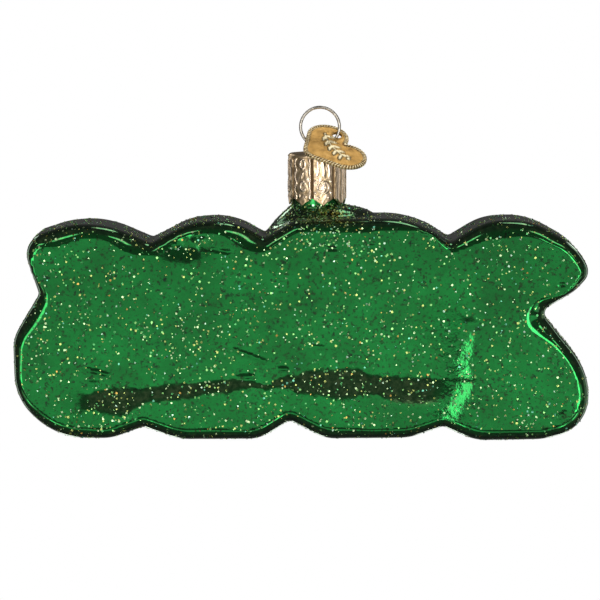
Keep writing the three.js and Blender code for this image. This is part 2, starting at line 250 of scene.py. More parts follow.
# Small furrows: middle, length, slant in degrees and depth
furrows = (
    (-14.8, -32.1, 9.0, -21, 0.045), (-48.2, -35.8, 5.5, -14, 0.06), (-49.0, -38.4, 2.6, 0, 0.05),
    (-15.6, -36.8, 4.0, 3, 0.05), (0.0, -30.2, 4.0, -4, 0.03),
    (-7.4, -35.1, 2.4, 0, 0.05), (3.2, -8.6, 2.4, 0, 0.06), (11.9, -8.3, 2.0, 0, 0.06),
    (-21.0, -9.1, 6.0, -10, 0.05), (53.6, -45.4, 2.6, 38, 0.06), (53.4, -16.6, 1.8, 20, 0.06),
)


# The shallow dent under the second lobe's top: middle, depth, and reach along and up
dent = (-29.4, -7.7, 0.34, 5.8, 2.9)


def face_recess(u, w):
    """How far the flat back lies below its highest level. A soft fold runs along its lower part,
    and ends at the right in an upright crease."""
    places, middles, halves, drops = zip(*fold)
    seen_half = np.interp(u, places, halves)
    line = np.interp(u, places, middles) + 0.2 * np.sin(u / 0.83) * np.sin(u / 2.3 + 1)
    line = line + 0.1 * np.sin(u / 0.34)
    heights, edges, reaches = zip(*crease)
    reach = np.interp(w, heights, reaches)
    edge = np.interp(w, heights, edges) + 0.3 * np.sin(w / 0.7) * np.sin(w / 2.1 + 0.5)
    ends = 1 - softer_step(-1, 1, (u - edge) / reach)
    recess = np.interp(u, places, drops) * soft_step(-1.35, 1.35, (line - w) / seen_half) * ends
    hollow = soft_step(2, 30, u) * ends * (1 - soft_step(-36, -12, w)) * soft_step(-54, -38, w)
    recess = recess + hollow_depth * hollow
    for middle_u, middle_w, length, slant, deep in furrows:
        c, s = math.cos(math.radians(slant)), math.sin(math.radians(slant))
        along = (u - middle_u) * c + (w - middle_w) * s
        across = (w - middle_w) * c - (u - middle_u) * s
        recess = recess + deep * np.exp(-(across / 0.45) ** 2 - (2 * along / length) ** 4)
    middle_u, middle_w, deep, along, upward = dent
    uneven = 1 + 0.12 * np.sin(u / 0.55) * np.sin(w / 0.8 + u / 2.1)
    recess = recess + deep * uneven * np.exp(-((u - middle_u) / along) ** 2 - ((w - middle_w) / upward) ** 2)
    return ripple_depth * ripple(u, w) + recess


# Where the mould has left a wider or tighter rounding along the flat back's edge: middle, how much
# wider, and reach
wide_rounds = (
    (-41.6, -8.0, 1.6, 4.0), (-15.6, -7.1, 2.0, 4.0), (47.2, -24.7, 2.4, 5.0), (53.5, -17.2, -1.6, 4.0),
    (40.0, -7.0, 1.2, 6.0), (-63.0, -33.0, -0.6, 9.0), (-57.0, -5.0, 1.6, 5.0), (-61.5, -12.5, -1.5, 3.5),
    (23.5, -6.5, -1.5, 5.5), (-62.0, -24.0, 0.9, 6.0), (-58.5, -15.5, -1.0, 4.5),
)


def back_rounding(u, w):
    """Width of the rounding between the flat back and the side wall."""
    wide = back_round_inset + 0.5 * (ripple(2.3 * u, 2.1 * w + 4) - 0.5)
    for middle_u, middle_w, more, reach in wide_rounds:
        wide = wide + more * np.exp(-((u - middle_u) ** 2 + (w - middle_w) ** 2) / reach ** 2)
    return wide


def hand_waves(u, y, w):
    """Unevenness of blown glass over a few millimetres."""
    return (
        np.sin(u / 1.27 + 1.3 * np.sin(w / 2.9)) * np.sin(y / 1.9 + u / 6.1)
        + np.sin(w / 1.43 + 1.1 * np.sin(u / 3.3)) * np.sin(y / 2.3 + w / 4.7 + 1)
    ) / 2


def glass_field(x, y, z):
    """Below 0 inside the glass shell and about the distance from it elsewhere."""
    u, w = x - neck_x, z - neck_foot
    depth = spline_read(depth_grid, depth_low, depth_step, u, w)
    back_start = back_round_depth - back_depth
    side = np.maximum(1 - depth / back_rounding(u, w), 0)
    rise = np.maximum((back_start - y + face_recess(u, w)) / back_round_depth, 0)
    back = (np.hypot(side, rise) - 1) * back_round_depth
    front_start = front_depth - front_round_depth
    half_wall = (front_start - back_start) / 2
    depth = depth + wall_bulge * (1 - np.clip(abs(y - back_start - half_wall) / half_wall, 0, 1) ** 2)
    crown = pillow_crown * (1 - np.clip(depth / pillow_spread, 0, 1)) ** 2
    side = np.maximum(1 - depth / front_round_inset, 0)
    rise = np.maximum((y + crown - front_start) / front_round_depth, 0)
    front = (np.hypot(side, rise) - 1) * front_round_depth
    waves = hand_wave_height * hand_waves(u, y, w) * (1 - soft_step(0.8, 2.6, depth))
    field = np.maximum(back, front) + waves
    for top, foot in (left_notches, middle_notches, right_notches):
        start = np.array(foot) * (body_length, body_height)
        run = np.array(top) * (body_length, body_height) - start
        across = abs((u - start[0]) * run[1] - (w - start[1]) * run[0]) / np.hypot(*run)
        bar = groove_radius - np.hypot(across, y - front_depth + groove_depth - groove_radius)
        field = -soft_least(-field, -bar, groove_fillet)
    left, right, across = (
        neck_radius + np.interp(-w, shoulder_drop, spread) for spread in shoulder_spread
    )
    middle, half = (right - left) / 2, (right + left) / 2
    neck = (np.hypot((u - middle) / half, y / across) - 1) * np.minimum(half, across)
    neck = -soft_least(-neck, neck_height - w, neck_lip_round)
    neck = np.maximum(neck, -shoulder_depth - w)
    field = soft_least(field, neck, shoulder_fillet)
    bore = np.maximum(np.hypot(u, y) - neck_bore, -bore_depth - w)
    return -soft_least(-field, bore, bore_lip_round)


def in_fold(u, w):
    """1 in the fold along the flat back and 0 away from it."""
    places, middles, halves, _ = zip(*fold)
    reach = np.interp(u, places, halves) - 0.3
    within = soft_step(-0.5, 0.5, reach - abs(w - np.interp(u, places, middles)))
    return within * soft_step(-51.5, -49.5, u) * (1 - soft_step(23, 28, u))


def buckled(x, y, z):
    """How finely crumpled the glass is, 0 to 1: by the crease, along the fold and on the walls."""
    u, w = x - neck_x, z - neck_foot
    heights, edges, _ = zip(*crease)
    near_crease = np.exp(-((u - np.interp(w, heights, edges) + 1.5) / 3.2) ** 2)
    near_crease = near_crease * soft_step(-49, -46, w) * (1 - soft_step(-32, -26, w))
    on_wall = soft_step(0, 2, y + back_depth - back_round_depth) * (1 - soft_step(5, 8, y))
    return np.maximum(np.maximum(0.7 * near_crease, 0.12 * in_fold(u, w)) * (y < 0), 0.5 * on_wall) + 0.04


def surface_net(field, low, high, cell):
    """Points and quads over the zero surface of a field: one point in each cell that it crosses."""
    axes = [np.arange(a, b + cell, cell) for a, b in zip(low, high)]
    values = field(axes[0][:, None, None], axes[1][None, :, None], axes[2][None, None, :])
    values = np.broadcast_to(values, [len(axis) for axis in axes])
    cells = [len(axis) - 1 for axis in axes]
    total, hits = np.zeros((*cells, 3)), np.zeros(cells)
    quads = []
    for axis in range(3):
        first = [slice(None)] * 3
        second = [slice(None)] * 3
        first[axis], second[axis] = slice(0, -1), slice(1, None)
        a, b = values[tuple(first)], values[tuple(second)]
        crossed = (a < 0) != (b < 0)
        part = np.where(crossed, a / np.where(crossed, a - b, 1), 0)
        others = [k for k in range(3) if k != axis]
        for step in ((0, 0), (0, 1), (1, 0), (1, 1)):
            pick = [slice(None)] * 3
            for other, one in zip(others, step):
                pick[other] = slice(one, one + cells[other])
            pick = tuple(pick)
            hits += crossed[pick]
            total[..., axis] += part[pick] * crossed[pick]
            for other, one in zip(others, step):
                total[..., other] += one * crossed[pick]
    used = hits > 0
    number = np.full(cells, -1)
    number[used] = np.arange(used.sum())
    corner = np.stack(np.nonzero(used), axis=1)
    points = np.array(low) + cell * (corner + total[used] / hits[used][:, None])
    for axis in range(3):
        first = [slice(1, -1)] * 3
        second = [slice(1, -1)] * 3
        first[axis], second[axis] = slice(0, -1), slice(1, None)
        a, b = values[tuple(first)], values[tuple(second)]
        where = np.stack(np.nonzero((a < 0) != (b < 0)), axis=1)
        inward = (a < 0)[tuple(where.T)]
        one, two = [(axis + k) % 3 for k in (1, 2)]
        steps = np.zeros((4, 3), int)
        steps[1, one] = steps[2, one] = steps[2, two] = steps[3, two] = 1
        base = where.copy()
        ring = np.stack([number[tuple((base + step).T)] for step in steps], axis=1)
        quads.append(np.where(inward[:, None], ring, ring[:, ::-1]))
    return points, np.concatenate(quads)


def slope_of(field, points, reach):
    """The field's gradient at each point."""
    steps = []
    for axis in range(3):
        ahead, behind = points.copy(), points.copy()
        ahead[:, axis] += reach
        behind[:, axis] -= reach
        steps.append((field(*ahead.T) - field(*behind.T)) / (2 * reach))
    return np.stack(steps, axis=1)


def settle(field, points, quads, rounds, reach):
    """Evens the points out along the surface and sets them exactly on it. Gives the points and
    the surface's own normals there."""
    for turn in range(rounds):
        total, count = np.zeros_like(points), np.zeros(len(points))
        for k in range(4):
            for other in (1, 3):
                np.add.at(total, quads[:, k], points[quads[:, (k + other) % 4]])
                np.add.at(count, quads[:, k], 1)
        points = points + 0.5 * (total / count[:, None] - points)
        for again in range(2):
            slope = slope_of(field, points, reach)
            square = np.maximum((slope ** 2).sum(axis=1), 0.05)
            away = np.clip(field(*points.T) / square, -0.3, 0.3)
            points = points - away[:, None] * slope
    slope = slope_of(field, points, reach)
    return points, slope / np.linalg.norm(slope, axis=1)[:, None]


def add_piece(name, points, faces, materials, normals=None, picks=None, smooth=True):
    """A mesh object from points in millimetres, with its materials."""
    mesh = bpy.data.meshes.new(name)
    mesh.from_pydata((np.asarray(points) * 0.001).tolist(), [], faces)
    mesh.polygons.foreach_set("use_smooth", np.full(len(mesh.polygons), smooth))
    for material in materials:
        mesh.materials.append(material)
    if picks is not None:
        mesh.polygons.foreach_set("material_index", np.asarray(picks, np.int32))
    mesh.update()
    if normals is not None:
        mesh.normals_split_custom_set_from_vertices(normals.tolist())
    piece = bpy.data.objects.new(name, mesh)
    bpy.context.scene.collection.objects.link(piece)
    return piece


def new_material(name, metallic, coat, coat_roughness):
    """A material with its shader, and a maker of further nodes for it."""
    material = bpy.data.materials.new(name)
    material.use_nodes = True
    tree = material.node_tree
    shader = tree.nodes["Principled BSDF"]
    shader.inputs["Metallic"].default_value = metallic
    shader.inputs["Coat Weight"].default_value = coat
    shader.inputs["Coat Roughness"].default_value = coat_roughness

    def add(kind, links=None, **settings):
        node = tree.nodes.new(kind)
        for key, value in settings.items():
            if key in node.inputs:
                node.inputs[key].default_value = value
            else:
                setattr(node, key, value)
        for key, socket in (links or {}).items():
            tree.links.new(socket, node.inputs[key])
        return node

    return material, shader, tree.links, add


def ramp(add, fac, stops):
    """A colour ramp over (place, colour) stops."""
    node = add("ShaderNodeValToRGB", {"Fac": fac})
    elements = node.color_ramp.elements
    while len(elements) < len(stops):
        elements.new(0.5)
    for element, (place, colour) in zip(elements, stops):
        element.position = place
        element.color = (*colour, 1)
    return node.outputs["Color"]


lacquer, shader, link, add = new_material("green_lacquer_over_silver", 1.0, 0.45, 0.12)
shader.inputs["Sheen Weight"].default_value = 0.03
shader.inputs["Sheen Roughness"].default_value = 0.6
place = add("ShaderNodeTexCoord").outputs["Object"]
cloud = add("ShaderNodeTexNoise", {"Vector": place}, Scale=90.0, Detail=6.0, Roughness=0.7)
depth_of_colour = ramp(add, cloud.outputs["Fac"], [
    (0.32, (0.0012, 0.150, 0.022)),
    (0.5, (0.0016, 0.210, 0.032)),
    (0.68, (0.0025, 0.275, 0.045)),
])
grit = add("ShaderNodeTexNoise", {"Vector": place}, Scale=1300.0, Detail=3.0, Roughness=0.7)
speck = ramp(add, grit.outputs["Fac"], [(0.37, (1, 1, 1)), (0.46, (0, 0, 0))])
tone = add("ShaderNodeTexNoise", {"Vector": place}, Scale=240.0, Detail=3.0, Roughness=0.6)
grit_colour = ramp(add, tone.outputs["Fac"], [
    (0.36, (0.002, 0.030, 0.010)), (0.5, (0.010, 0.060, 0.010)), (0.64, (0.004, 0.120, 0.022)),
])
coated = add("ShaderNodeMix", data_type="RGBA")
link.new(speck, coated.inputs["Factor"])
link.new(depth_of_colour, coated.inputs["A"])
link.new(grit_colour, coated.inputs["B"])
# In the fold the base colour turns grey: a glitter dust, which also paints in the grey haze of the fold's
# dark reflection
fold_grey_noise = add("ShaderNodeTexNoise", {"Vector": place}, Scale=900.0, Detail=3.0, Roughness=0.6)
fold_dust_and_painted_haze_colour = ramp(add, fold_grey_noise.outputs["Fac"], [
    (0.38, (0.034, 0.146, 0.037)), (0.5, (0.073, 0.222, 0.068)), (0.62, (0.156, 0.310, 0.112)),
])
dust_and_painted_haze = add("ShaderNodeMix", {
    "Factor": add("ShaderNodeAttribute", attribute_name="dust_and_painted_haze").outputs["Fac"],
}, data_type="RGBA")
link.new(coated.outputs["Result"], dust_and_painted_haze.inputs["A"])
link.new(fold_dust_and_painted_haze_colour, dust_and_painted_haze.inputs["B"])
drawn = add("ShaderNodeMapping", {"Vector": place})
drawn.inputs["Scale"].default_value = (1.0, 0.12, 1.0)
run = add("ShaderNodeTexNoise", {"Vector": drawn.outputs["Vector"]}, Scale=700.0, Detail=4.0, Roughness=0.65)
# Painted shade on the rounded rim and the side walls: dark green and grey streaks, stretched along the depth
rim_and_wall_shade_colour = ramp(add, run.outputs["Fac"], [
    (0.36, (0.006, 0.045, 0.013)), (0.52, (0.022, 0.095, 0.028)), (0.68, (0.110, 0.170, 0.065)),
])
painted_rim_and_wall_shade = add("ShaderNodeMix", {
    "Factor": add("ShaderNodeAttribute", attribute_name="painted_rim_and_wall_shade").outputs["Fac"],
}, data_type="RGBA")
link.new(dust_and_painted_haze.outputs["Result"], painted_rim_and_wall_shade.inputs["A"])
link.new(rim_and_wall_shade_colour, painted_rim_and_wall_shade.inputs["B"])
link.new(painted_rim_and_wall_shade.outputs["Result"], shader.inputs["Base Color"])
haze = add("ShaderNodeTexNoise", {"Vector": place}, Scale=320.0, Detail=4.0, Roughness=0.65)
link.new(
    add("ShaderNodeMapRange", {"Value": haze.outputs["Fac"]}, **{
        "From Min": 0.35, "From Max": 0.7, "To Min": 0.03, "To Max": 0.10,
    }).outputs["Result"],
    shader.inputs["Roughness"],
)
grain = add("ShaderNodeTexNoise", {"Vector": place}, Scale=900.0, Detail=3.0, Roughness=0.6)
relief = add("ShaderNodeBump", {"Height": grain.outputs["Fac"]}, Strength=0.05, Distance=0.0002)
buckle = add(
    "ShaderNodeTexNoise", {"Vector": drawn.outputs["Vector"]}, Scale=620.0, Detail=3.0, Roughness=0.6,
)
creased = add("ShaderNodeAttribute", attribute_name="buckled").outputs["Fac"]
relief = add("ShaderNodeBump", {
    "Height": buckle.outputs["Fac"], "Strength": creased, "Normal": relief.outputs["Normal"],
}, Distance=0.0002)
link.new(relief.outputs["Normal"], shader.inputs["Normal"])
link.new(relief.outputs["Normal"], shader.inputs["Coat Normal"])

outline_low, outline_high = body_outline.min(axis=0), body_outline.max(axis=0)
net_low = (outline_low[0] + neck_x - 1.3, -back_depth - 1.1, outline_low[1] + neck_foot - 1.2)
net_high = (outline_high[0] + neck_x + 1.3, front_depth + 1.1, neck_foot + neck_height + 1.1)
glass_points, glass_quads = surface_net(glass_field, net_low, net_high, glass_cell)
glass_points, glass_normals = settle(glass_field, glass_points, glass_quads, 3, 0.02)
glass = add_piece("glass_shell", glass_points, glass_quads.tolist(), [lacquer], glass_normals)
glass.data.attributes.new("buckled", "FLOAT", "POINT").data.foreach_set("value", buckled(*glass_points.T))
# Where the fold's grey goes: glitter dust, with a painted grey haze standing for the fold's dark reflection
dust_and_haze_reach = in_fold(glass_points[:, 0] - neck_x, glass_points[:, 2] - neck_foot) * (glass_points[:, 1] < 0)
glass.data.attributes.new("dust_and_painted_haze", "FLOAT", "POINT").data.foreach_set("value", dust_and_haze_reach)
# Painted shade: the rim and side walls turn a dark streaky green, more as the surface turns from the flat
# back's direction
tilt = np.degrees(np.arccos(np.clip(-glass_normals[:, 1], -1, 1)))
rim_and_wall_shade = soft_step(20, 34, tilt) * (0.85 - 0.25 * soft_step(50, 80, tilt)) * (1 - soft_step(100, 125, tilt))
rim_and_wall_shade = rim_and_wall_shade * (1 - soft_step(-1.5, 1.5, glass_points[:, 2] - neck_foot))
glass.data.attributes.new("painted_rim_and_wall_shade", "FLOAT", "POINT").data.foreach_set("value", rim_and_wall_shade)
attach(glass, "glass")
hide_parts("glass_body")

# Glitter: six-sided flakes of metallised film, a quarter to half a millimetre across, dusted over
# the wet lacquer. They lie nearly flat, about half of them gold, and the others green, silver or
# orange.
flake_density = 0.5
flake_thickness = 0.04
flake_tilt = 0.22
flake_lift = 0.05
flake_half_widths = (0.12, 0.17, 0.22, 0.27)
flake_width_shares = (0.25, 0.35, 0.28, 0.12)
heap_u, heap_w, heap_length, heap_height = -50, -47, 9, 3.5
flake_kinds = (
    ("gold", (0.58, 0.67, 0.20), 0.24),
    ("pale_gold", (0.66, 0.90, 0.48), 0.25),
    ("silver", (0.62, 0.90, 0.68), 0.06),
    ("orange", (0.64, 0.40, 0.10), 0.03),
    ("lime", (0.34, 0.74, 0.24), 0.21),
    ("aqua", (0.18, 0.60, 0.40), 0.05),
    ("leaf_green", (0.10, 0.38, 0.13), 0.16),
)


def flake_material(kind, colour):
    """Metallised film of one colour, a little uneven."""
    material, shader, link, add = new_material("glitter_" + kind, 1.0, 0.0, 0.03)
    place = add("ShaderNodeTexCoord").outputs["Object"]
    tint = add("ShaderNodeTexNoise", {"Vector": place}, Scale=2500.0, Detail=1.0)
    darker = tuple(0.7 * part for part in colour)
    link.new(ramp(add, tint.outputs["Fac"], [(0.35, darker), (0.6, colour)]), shader.inputs["Base Color"])
    shine = add("ShaderNodeMapRange", {"Value": tint.outputs["Fac"]}, **{"To Min": 0.2, "To Max": 0.45})
    link.new(shine.outputs["Result"], shader.inputs["Roughness"])
    return material


def scatter_flakes(points, normals, quads, seed):
    """Flat six-sided flakes on the surface, each a closed solid, and the kind of each."""
    draw = np.random.default_rng(seed)
    corners = points[quads]
    areas = 0.5 * np.linalg.norm(
        np.cross(corners[:, 2] - corners[:, 0], corners[:, 3] - corners[:, 1]), axis=1,
    )
    centre = corners.mean(axis=1)
    u, w = centre[:, 0] - neck_x, centre[:, 2] - neck_foot
    under_cap = np.exp(-(np.hypot(u, w - 1) / 7) ** 2)
    on_body = centre[:, 2] < neck_foot + 0.6
    patch = ripple(centre[:, 0] * 2.3 + 5, centre[:, 2] * 2.1)
    flatness = abs(normals[quads[:, 0], 1])
    folded = in_fold(u, w) * (centre[:, 1] < 0)
    heap = np.exp(-((u - heap_u) / heap_length) ** 2 - ((w - heap_w) / heap_height) ** 2)
    weight = areas * flake_density * (0.5 + 0.85 * patch + 7.0 * under_cap + 0.8 * folded + 1.2 * heap)
    weight = weight * on_body * (0.7 + 0.3 * flatness)
    count = int(weight.sum())
    picked = draw.choice(len(quads), size=count, p=weight / weight.sum())
    share = draw.random((count, 2))
    a, b, c, d = (corners[picked, k] for k in range(4))
    s, t = share[:, :1], share[:, 1:]
    place = a * (1 - s) * (1 - t) + b * s * (1 - t) + c * s * t + d * (1 - s) * t
    normal = normals[quads[picked]].mean(axis=1)
    normal += draw.normal(0, flake_tilt, (count, 3))
    normal /= np.linalg.norm(normal, axis=1)[:, None]
    along = np.cross(normal, draw.normal(0, 1, (count, 3)))
    along /= np.linalg.norm(along, axis=1)[:, None]
    across = np.cross(normal, along)
    half = draw.choice(flake_half_widths, size=(count, 1), p=flake_width_shares)
    middle = place + normal * flake_lift
    rings = []
    for level in (-0.5, 0.5):
        for k in range(6):
            turn = k * math.pi / 3
            edge = math.cos(turn) * along + math.sin(turn) * across
            rings.append(middle + half * edge + normal * (level * flake_thickness))
    flakes = np.stack(rings, axis=1).reshape(-1, 3)
    tops = np.array([(5, 4, 3, 2, 1, 0), (6, 7, 8, 9, 10, 11)])
    walls = np.array([(k, (k + 1) % 6, 6 + (k + 1) % 6, 6 + k) for k in range(6)])
    start = 12 * np.arange(count)[:, None, None]
    faces = (start + tops).reshape(-1, 6).tolist() + (start + walls).reshape(-1, 4).tolist()
    kinds = draw.choice(len(flake_kinds), size=count, p=[share for _, _, share in flake_kinds])
    return flakes, faces, np.concatenate([np.repeat(kinds, 2), np.repeat(kinds, 6)])


flake_materials = [flake_material(kind, colour) for kind, colour, _ in flake_kinds]
quad_middle = glass_points[glass_quads].mean(axis=1)
for name, half, seed in (
    ("glitter_on_flat_back", glass_quads[quad_middle[:, 1] < 0], 12),
    ("glitter_on_puffed_front", glass_quads[quad_middle[:, 1] >= 0], 35),
):
    flakes, flake_faces, flake_picks = scatter_flakes(glass_points, glass_normals, half, seed)
    glitter = add_piece(name, flakes, flake_faces, flake_materials, picks=flake_picks, smooth=False)
    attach(glitter, "glass")

# Cap: a thin cup pressed from rose-gold coloured metal and embossed in eight panels with scrolls,
# rosettes and streaks. Its teeth spring against the neck, and two holes take the wire.
cap_top = -9.7
cap_radius = 6.5
cap_sheet = 0.5
cap_height = 9.7
cap_edge_round = 0.85
cap_hole_radius = 0.75
cap_hole_spacing = 2.6
tooth_count = 8
tooth_length = 1.6
first_tooth_gap = math.radians(-10)
crease_depth = 0.2
emboss_height = 0.21
ground_depth = 0.19
plain_height = 0.2
cap_columns = 512
cap_rows = 96
cap_edge_rings = 7
hole_sides = 28


def ridge(away, width):
    """A rounded raised line, from the distance to its middle."""
    return np.exp(-(away / width) ** 2)


def scroll_panel(s, t):
    """A wavy line at the left, and a ring, a slanted stroke and an open curl at the right."""
    height = ridge(s + 1.75 - 0.3 * np.sin(t * 2.2), 0.24)
    height = np.maximum(height, 0.85 * ridge(s - 2.0 + 0.12 * np.sin(t * 2.1), 0.26))
    ring = (np.hypot((s - 0.2) / 0.62, (t - 2.2) / 0.95) - 1) * 0.62
    height = np.maximum(height, ridge(ring, 0.24))
    height = np.maximum(height, ridge(s - 0.1 + 0.35 * (t - 4.7), 0.26) * ridge(t - 4.7, 0.9))
    curl = (np.hypot((s - 0.35) / 0.72, (t - 7.1) / 0.95) - 1) * 0.72
    angle = np.arctan2(t - 7.1, s - 0.35)
    height = np.maximum(height, ridge(curl, 0.24) * soft_step(0.5, 0.9, abs(angle)))
    height = np.maximum(height, ridge(np.hypot(s + 0.7, t - 9.2), 0.4))
    return np.maximum(height, 0.8 * ridge(np.hypot(s - 1.0, t - 9.4), 0.35))


def rosette_panel(s, t):
    """Fanned streaks above and a round rosette below, with beads beside it."""
    fan = np.cos(5.6 * s / (1 + 0.09 * (t - 1)) + 0.6 * np.sin(1.3 * t))
    height = (0.45 + 0.4 * fan) * soft_step(0.9, 1.6, t) * (1 - soft_step(4.6, 5.8, t))
    away = np.hypot(s, t - 7.3)
    height = np.maximum(height, ridge(away - 1.3, 0.22))
    angle = np.arctan2(t - 7.3, s)
    petals = 0.72 + 0.14 * np.cos(5 * angle) * soft_step(0.2, 0.6, away)
    height = np.maximum(height, petals * (1 - soft_step(0.75, 1.0, away)))
    for bead_s, bead_t in ((-1.85, 6.0), (1.85, 6.0), (-1.9, 8.5), (1.9, 8.5), (-1.2, 9.5), (1.2, 9.5)):
        height = np.maximum(height, 0.9 * ridge(np.hypot(s - bead_s, t - bead_t), 0.36))
    return height


def streak_panel(s, t):
    """Upright flutes of uneven width."""
    flutes = 0.5 + 0.4 * np.cos(4.4 * s + 0.8 * np.sin(1.6 * s) + 0.3 * np.sin(0.9 * t))
    return flutes * soft_step(0.9, 1.5, t)


def cap_emboss(angle, t):
    """Height of the pressed pattern, 0 to 1, with the creases between the panels below 0."""
    pitch = 2 * math.pi / tooth_count
    turn = (angle - first_tooth_gap) / pitch
    panel = np.floor(turn).astype(int) % tooth_count
    s = (turn - np.floor(turn) - 0.5) * pitch * cap_radius
    makers = (
        rosette_panel, streak_panel, scroll_panel, rosette_panel,
        streak_panel, scroll_panel, rosette_panel, scroll_panel,
    )
    height = np.zeros(np.broadcast(angle, t).shape)
    for k, maker in enumerate(makers):
        height = np.where(panel == k, maker(s, t), height)
    from_crease = pitch * cap_radius / 2 - abs(s)
    crinkle = np.sin(2.6 * s + 1.2 * np.sin(1.3 * t + panel)) * np.sin(2.1 * t + np.sin(1.9 * s + 2 * panel))
    height = np.maximum(height, 0.3 + 0.25 * crinkle) * soft_step(0.12, 0.5, from_crease)
    rim = ridge(t - 0.62, 0.16) * (0.6 + 0.4 * np.cos(96 * angle))
    height = np.maximum(height * soft_step(0.75, 1.1, t), rim)
    crease = crease_depth / emboss_height * (1 - soft_step(0, 0.4, from_crease))
    return height - crease * soft_step(0.5, 1.2, t)


def tooth_drop(angle):
    """How far the toothed edge hangs at an angle round the cap."""
    part = (angle - first_tooth_gap) / (2 * math.pi) * tooth_count % 1
    return tooth_length * (1 - abs(2 * part - 1))


def cap_mesh():
    """Points, faces and pattern heights of the cap: its wall as a fine grid, and its top plate."""
    angles = first_tooth_gap + 2 * math.pi * np.arange(cap_columns) / cap_columns
    flat = cap_radius - cap_edge_round
    drops = tooth_drop(angles)
    rings, marks = [], []

    def add_ring(radius, z, mark):
        rings.append(np.stack([
            neck_x + radius * np.sin(angles), -radius * np.cos(angles), cap_top + z + 0 * angles,
        ], axis=1))
        marks.append(mark + 0 * angles)

    for step in range(cap_edge_rings):
        turn = math.pi / 2 * step / cap_edge_rings
        add_ring(flat + cap_edge_round * math.sin(turn), cap_edge_round * (math.cos(turn) - 1), 0.3)
    for row in range(cap_rows + 1):
        part = row / cap_rows
        t = cap_edge_round + part * (cap_height + drops - cap_edge_round)
        height = cap_emboss(angles, t)
        near_edge = soft_step(0, 0.35, cap_height + drops - t)
        radius = cap_radius - ground_depth + emboss_height * np.maximum(height, -2) * near_edge
        add_ring(radius, -t, height)
    inner = cap_radius - cap_sheet
    within = cap_edge_round - cap_sheet
    for radius, z in (
        (cap_radius - 0.5 * cap_sheet, -cap_height - drops - 0.05),
        (inner, -cap_height - drops),
        (inner, -cap_height / 2),
        (inner, -cap_edge_round),
        (flat + within / 2, -cap_sheet - within / 4),
        (flat, -cap_sheet),
    ):
        add_ring(radius, z, plain_height)
    points = np.concatenate(rings)
    faces = []
    for level in range(len(rings) - 1):
        for i in range(cap_columns):
            here, after = level * cap_columns + i, level * cap_columns + (i + 1) % cap_columns
            faces.append((here, here + cap_columns, after + cap_columns, after))
    return points, faces, np.concatenate(marks), len(rings)


def cap_plate(points, faces, marks, levels):
    """Closes the cap's top and underside with a plate that has two round holes."""
    hole_turns = 2 * math.pi * np.arange(hole_sides) / hole_sides
    holes = [
        np.stack([
            neck_x + side * cap_hole_spacing / 2 + cap_hole_radius * np.cos(hole_turns),
            cap_hole_radius * np.sin(hole_turns),
        ], axis=1)
        for side in (-1, 1)
    ]
    starts = {0: 0.0, levels - 1: -cap_sheet}
    rims = {}
    for level, z in starts.items():
        first = level * cap_columns
        outer = points[first:first + cap_columns, :2]
        flat = np.concatenate([outer, *holes])
        edges = []
        begin = 0
        for loop in (outer, *holes):
            count = len(loop)
            edges += [(begin + k, begin + (k + 1) % count) for k in range(count)]
            begin += count
        places = [Vector(p) for p in flat]
        found = delaunay_2d_cdt(places, edges, [], 2, 1e-7)
        number = {}
        extra = len(points)
        points = np.concatenate([points, np.column_stack([
            flat[cap_columns:], np.full(len(flat) - cap_columns, cap_top + z),
        ])])
        marks = np.concatenate([marks, np.full(len(flat) - cap_columns, plain_height)])
        for made, origins in enumerate(found[3]):
            origin = origins[0]
            number[made] = first + origin if origin < cap_columns else extra + origin - cap_columns
        for face in found[2]:
            corners = [number[k] for k in face]
            a, b, c = (points[k][:2] for k in corners[:3])
            upward = (b[0] - a[0]) * (c[1] - a[1]) - (b[1] - a[1]) * (c[0] - a[0]) > 0
            if upward != (level == 0):
                corners.reverse()
            faces.append(tuple(corners))
        rims[level] = extra
    for hole in range(2):
        for k in range(hole_sides):
            a, b = hole * hole_sides + k, hole * hole_sides + (k + 1) % hole_sides
            faces.append((rims[0] + a, rims[0] + b, rims[levels - 1] + b, rims[levels - 1] + a))
    return points, faces, marks


brassy, shader, link, add = new_material("pressed_rose_gold_metal", 1.0, 0.0, 0.03)
pressed = add("ShaderNodeAttribute", attribute_name="pressed_height").outputs["Fac"]
place = add("ShaderNodeTexCoord").outputs["Object"]
stain = add("ShaderNodeTexNoise", {"Vector": place}, Scale=600.0, Detail=4.0, Roughness=0.65)
shifted = add("ShaderNodeMath", operation="MULTIPLY_ADD")
link.new(stain.outputs["Fac"], shifted.inputs[0])
shifted.inputs[1].default_value = 0.5
link.new(pressed, shifted.inputs[2])
# The pressed height sets the colour: painted shade in the creases and on the low ground, painted highlight on
# the raised pattern, mixed with a random stain
link.new(
    ramp(add, shifted.outputs["Value"], [
        (0.0, (0.16, 0.10, 0.05)),
        (0.25, (0.50, 0.35, 0.18)),
        (0.5, (0.80, 0.60, 0.36)),
        (0.9, (0.94, 0.76, 0.57)),
    ]),
    shader.inputs["Base Color"],
)
link.new(
    add("ShaderNodeMapRange", {"Value": shifted.outputs["Value"]}, **{
        "From Min": 0.1, "From Max": 1.1, "To Min": 0.42, "To Max": 0.2,
    }).outputs["Result"],
    shader.inputs["Roughness"],
)
scratch = add("ShaderNodeTexNoise", {"Vector": place}, Scale=2600.0, Detail=2.0)
relief = add("ShaderNodeBump", {"Height": scratch.outputs["Fac"]}, Strength=0.05, Distance=0.0001)
link.new(relief.outputs["Normal"], shader.inputs["Normal"])

cap_points, cap_faces, cap_marks = cap_plate(*cap_mesh())
cap = add_piece("embossed_cap", cap_points, cap_faces, [brassy])
cap.data.attributes.new("pressed_height", "FLOAT", "POINT").data.foreach_set("value", cap_marks)
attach(cap, "cap")
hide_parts("cap")

